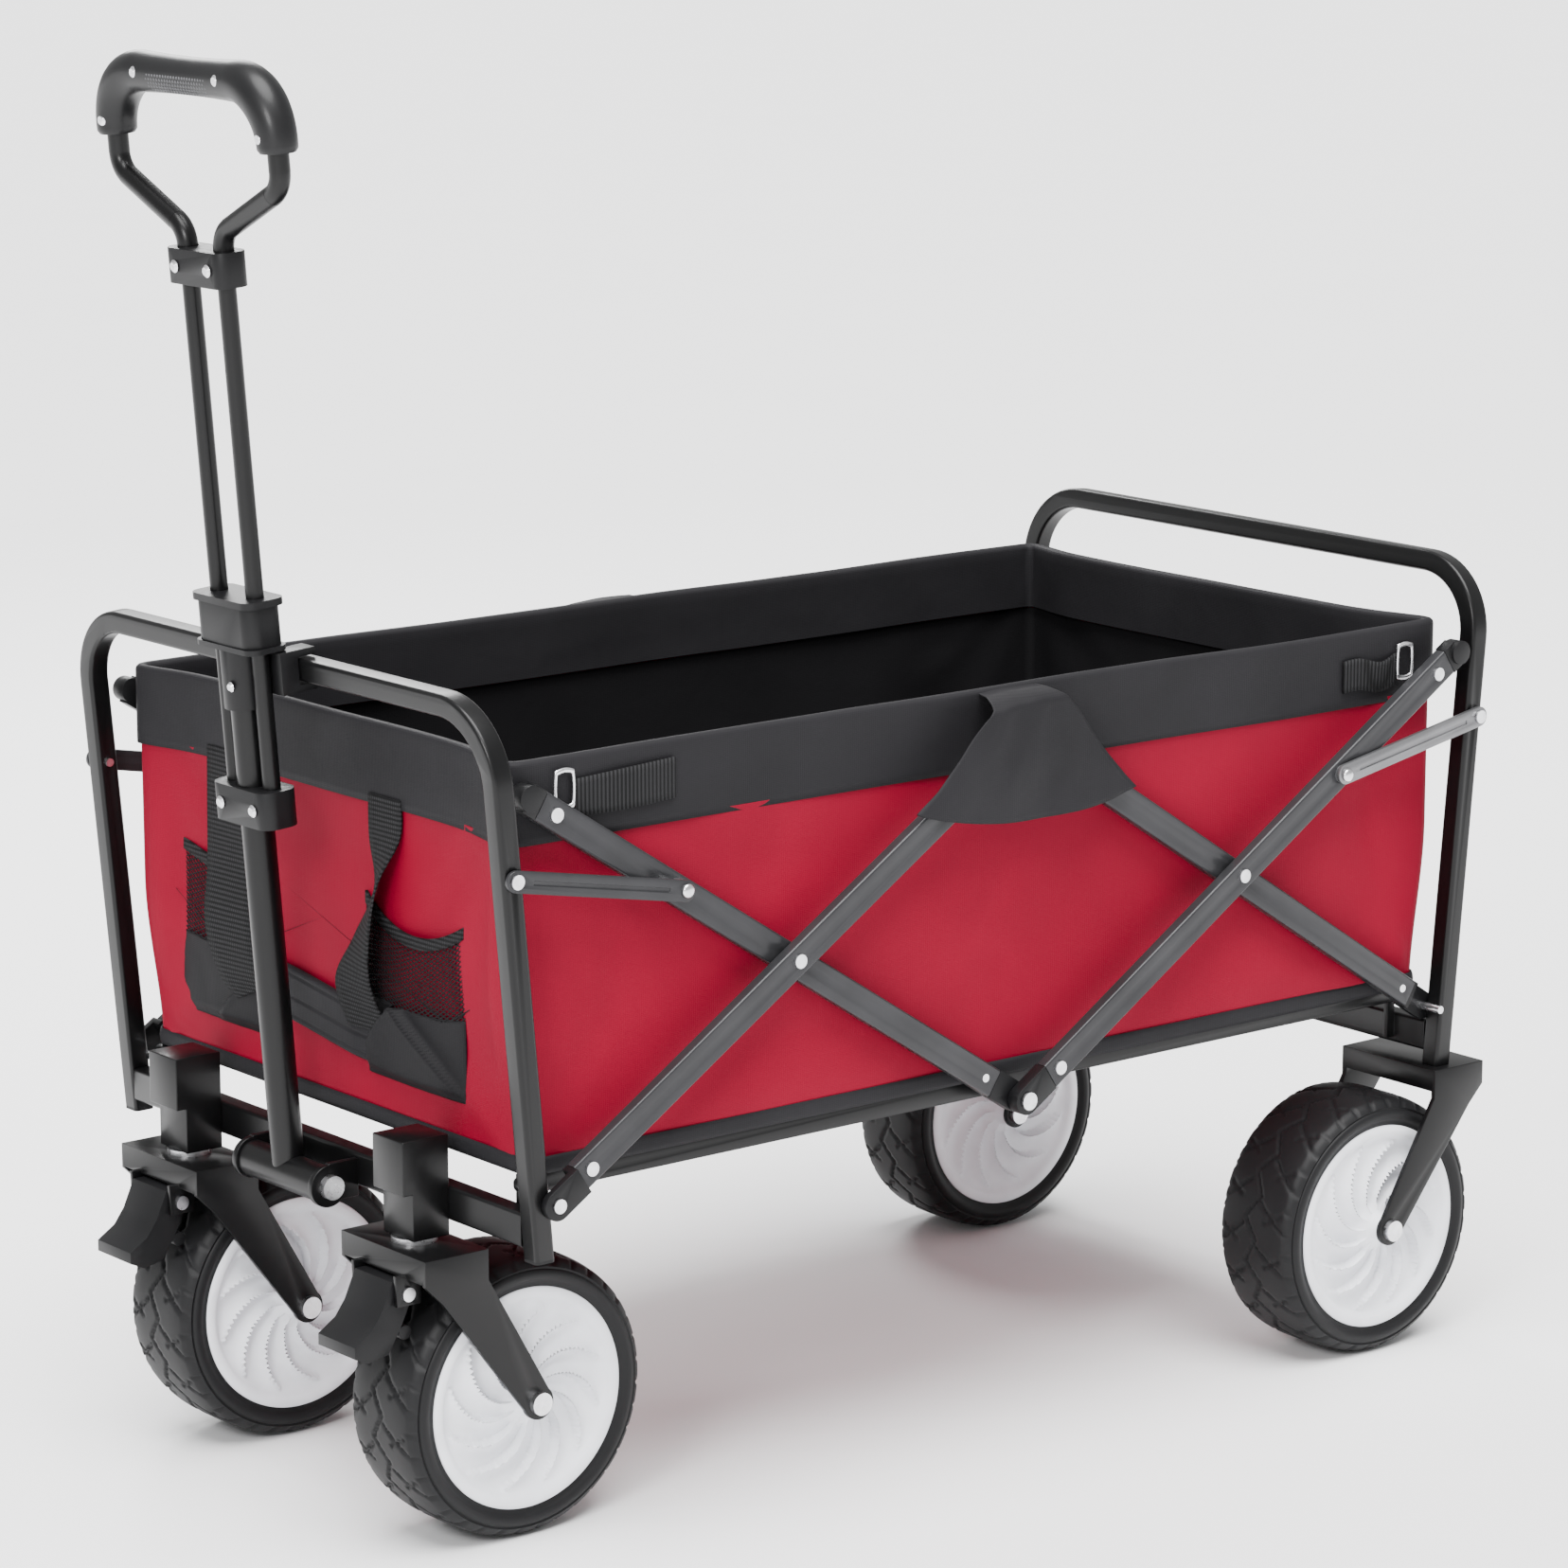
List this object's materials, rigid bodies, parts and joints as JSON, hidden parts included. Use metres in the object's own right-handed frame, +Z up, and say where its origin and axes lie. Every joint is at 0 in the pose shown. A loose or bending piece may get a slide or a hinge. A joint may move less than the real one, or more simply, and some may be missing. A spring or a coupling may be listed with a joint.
{
  "type": "folding camp wagon",
  "caption": "Scissor-folding camp wagon with a red fabric tub, black steel frame, white-disc wheels, swivelling front casters and a telescopic pull handle.",
  "frame": {"origin": "on the ground, below the middle of the overall length and width", "axes": "+X to the rear, +Y to the left side, +Z up"},
  "size_m": [0.999, 0.539, 1.0126],
  "materials": {
    "frame_steel": "satin black powder coat",
    "bar_steel": "satin gunmetal paint",
    "bright_link": "pressed steel, lightly brushed",
    "zinc": "bright zinc plate",
    "black_plastic": "moulded, fine grain",
    "grip_plastic": "moulded with a dotted pad",
    "tyre": "matt EVA with tread grooves",
    "white_plastic": "satin moulded white",
    "red_cloth": "woven polyester",
    "dark_cloth": "woven polyester, charcoal",
    "pocket_cloth": "mesh over charcoal polyester",
    "mat_board": "polyester over stiff board"
  },
  "bodies": {
    "front_frame": {"front_hoop": "frame_steel", "front_crossbar": "frame_steel", "caster_columns": "frame_steel", "handle_bracket": "frame_steel", "front_fasteners": "zinc", "post_plugs": "black_plastic"},
    "rear_frame": {"rear_hoop": "frame_steel", "rear_crossbar": "frame_steel", "rear_forks": "frame_steel", "rear_axles": "zinc", "rear_fasteners": "zinc"},
    "front_outer_bars": {"front_outer_bar_left": "bar_steel", "front_outer_bar_right": "bar_steel", "front_outer_plugs": "black_plastic", "front_outer_rivets": "zinc"},
    "front_inner_bars": {"front_inner_bar_left": "bar_steel", "front_inner_bar_right": "bar_steel", "front_inner_plugs": "black_plastic", "front_inner_rivets": "zinc"},
    "rear_inner_bars": {"rear_inner_bar_left": "bar_steel", "rear_inner_bar_right": "bar_steel", "rear_inner_plugs": "black_plastic", "rear_inner_rivets": "zinc"},
    "rear_outer_bars": {"rear_outer_bar_left": "bar_steel", "rear_outer_bar_right": "bar_steel", "rear_outer_plugs": "black_plastic", "rear_outer_rivets": "zinc"},
    "front_links": {"front_stay_links": "bar_steel"},
    "rear_links": {"rear_stay_links": "bright_link"},
    "front_rails": {"front_floor_rails": "frame_steel"},
    "rear_rails": {"rear_floor_rails": "frame_steel"},
    "tub": {"fabric_tub": "red_cloth", "rim_band": "dark_cloth", "joint_covers": "dark_cloth", "bottle_pockets": "pocket_cloth", "floor_mat": "mat_board"},
    "pull_pole": {"hinge_barrel": "frame_steel", "pull_tube": "frame_steel", "guide_collar": "black_plastic"},
    "handle": {"slide_tubes": "frame_steel", "lower_bracket": "black_plastic", "upper_clamp": "black_plastic", "handle_loop": "frame_steel", "hand_grip": "grip_plastic"},
    "caster_left": {"caster_fork_left": "frame_steel", "caster_stem_left": "zinc", "caster_axle_left": "zinc"},
    "brake_left": {"brake_pedal_left": "black_plastic"},
    "front_wheel_left": {"tyre_front_left": "tyre", "rim_front_left": "white_plastic"},
    "rear_wheel_left": {"tyre_rear_left": "tyre", "rim_rear_left": "white_plastic"},
    "caster_right": {"caster_fork_right": "frame_steel", "caster_stem_right": "zinc", "caster_axle_right": "zinc"},
    "brake_right": {"brake_pedal_right": "black_plastic"},
    "front_wheel_right": {"tyre_front_right": "tyre", "rim_front_right": "white_plastic"},
    "rear_wheel_right": {"tyre_rear_right": "tyre", "rim_rear_right": "white_plastic"}
  },
  "joints": [
    {"name": "fold", "type": "hinge", "parent": "front_frame", "child": "front_outer_bars", "pos_m": [-0.38463, 0, 0.263], "axis": [0, -1, 0], "range_deg": [0, 39.5], "deforming": ["fabric_tub", "rim_band", "joint_covers", "bottle_pockets", "floor_mat"]},
    {"name": "front_cross_pivot", "type": "hinge", "parent": "front_outer_bars", "child": "front_inner_bars", "pos_m": [-0.17563, 0, 0.3975], "axis": [0, -1, 0], "range_deg": [-79, 0]},
    {"name": "top_joint", "type": "hinge", "parent": "front_outer_bars", "child": "rear_inner_bars", "pos_m": [0.03337, 0, 0.532], "axis": [0, -1, 0], "range_deg": [-79, 0]},
    {"name": "rear_cross_pivot", "type": "hinge", "parent": "rear_inner_bars", "child": "rear_outer_bars", "pos_m": [0.24237, 0, 0.3975], "axis": [0, -1, 0], "range_deg": [0, 79]},
    {"name": "rear_frame_pivot", "type": "hinge", "parent": "rear_inner_bars", "child": "rear_frame", "pos_m": [0.45137, 0, 0.263], "axis": [0, -1, 0], "range_deg": [0, 39.5]},
    {"name": "front_link_pivot", "type": "hinge", "parent": "front_frame", "child": "front_links", "pos_m": [-0.41455, 0, 0.48742], "axis": [0, -1, 0], "range_deg": [0, 71.3]},
    {"name": "rear_link_pivot", "type": "hinge", "parent": "rear_frame", "child": "rear_links", "pos_m": [0.4813, 0, 0.48742], "axis": [0, -1, 0], "range_deg": [-71.3, 0]},
    {"name": "front_rail_pivot", "type": "hinge", "parent": "front_frame", "child": "front_rails", "pos_m": [-0.38463, 0, 0.269], "axis": [0, -1, 0], "range_deg": [0, 68.76]},
    {"name": "rear_rail_pivot", "type": "hinge", "parent": "rear_frame", "child": "rear_rails", "pos_m": [0.45137, 0, 0.269], "axis": [0, -1, 0], "range_deg": [-68.76, 0]},
    {"name": "tub_rise", "type": "slide", "parent": "front_frame", "child": "tub", "axis": [0, 0, 1], "range_m": [0, 0.2049]},
    {"name": "handle_tilt", "type": "hinge", "parent": "front_frame", "child": "pull_pole", "pos_m": [-0.42463, 0, 0.236], "axis": [0, -1, 0], "range_deg": [0, 78]},
    {"name": "handle_slide", "type": "slide", "parent": "pull_pole", "child": "handle", "axis": [-0.0793, 0, 0.9968], "range_m": [-0.205, 0.05]},
    {"name": "caster_swivel_left", "type": "hinge", "parent": "front_frame", "child": "caster_left", "pos_m": [-0.41713, 0.141, 0.218], "axis": [0, 0, 1], "continuous": true},
    {"name": "front_wheel_spin_left", "type": "hinge", "parent": "caster_left", "child": "front_wheel_left", "pos_m": [-0.35013, 0.141, 0.1005], "axis": [0, 1, 0], "continuous": true},
    {"name": "brake_left", "type": "hinge", "parent": "caster_left", "child": "brake_left", "pos_m": [-0.44113, 0.141, 0.19], "axis": [0, -1, 0], "range_deg": [0, 10]},
    {"name": "rear_wheel_spin_left", "type": "hinge", "parent": "rear_frame", "child": "rear_wheel_left", "pos_m": [0.39698, 0.215, 0.1005], "axis": [0, 1, 0], "continuous": true},
    {"name": "caster_swivel_right", "type": "hinge", "parent": "front_frame", "child": "caster_right", "pos_m": [-0.41713, -0.141, 0.218], "axis": [0, 0, 1], "continuous": true},
    {"name": "front_wheel_spin_right", "type": "hinge", "parent": "caster_right", "child": "front_wheel_right", "pos_m": [-0.35013, -0.141, 0.1005], "axis": [0, 1, 0], "continuous": true},
    {"name": "brake_right", "type": "hinge", "parent": "caster_right", "child": "brake_right", "pos_m": [-0.44113, -0.141, 0.19], "axis": [0, -1, 0], "range_deg": [0, 10]},
    {"name": "rear_wheel_spin_right", "type": "hinge", "parent": "rear_frame", "child": "rear_wheel_right", "pos_m": [0.39698, -0.215, 0.1005], "axis": [0, 1, 0], "continuous": true}
  ],
  "couplings": [
    {"joint": "front_cross_pivot", "follows": "fold", "ratio": -2},
    {"joint": "top_joint", "follows": "fold", "ratio": -2},
    {"joint": "rear_cross_pivot", "follows": "fold", "ratio": 2},
    {"joint": "rear_frame_pivot", "follows": "fold", "ratio": 1},
    {"joint": "front_link_pivot", "follows": "fold", "ratio": 1.8051},
    {"joint": "rear_link_pivot", "follows": "fold", "ratio": -1.8051},
    {"joint": "front_rail_pivot", "follows": "fold", "ratio": 1.7407},
    {"joint": "rear_rail_pivot", "follows": "fold", "ratio": -1.7407},
    {"joint": "tub_rise", "follows": "fold", "m_per_rad": 0.29656}
  ]
}
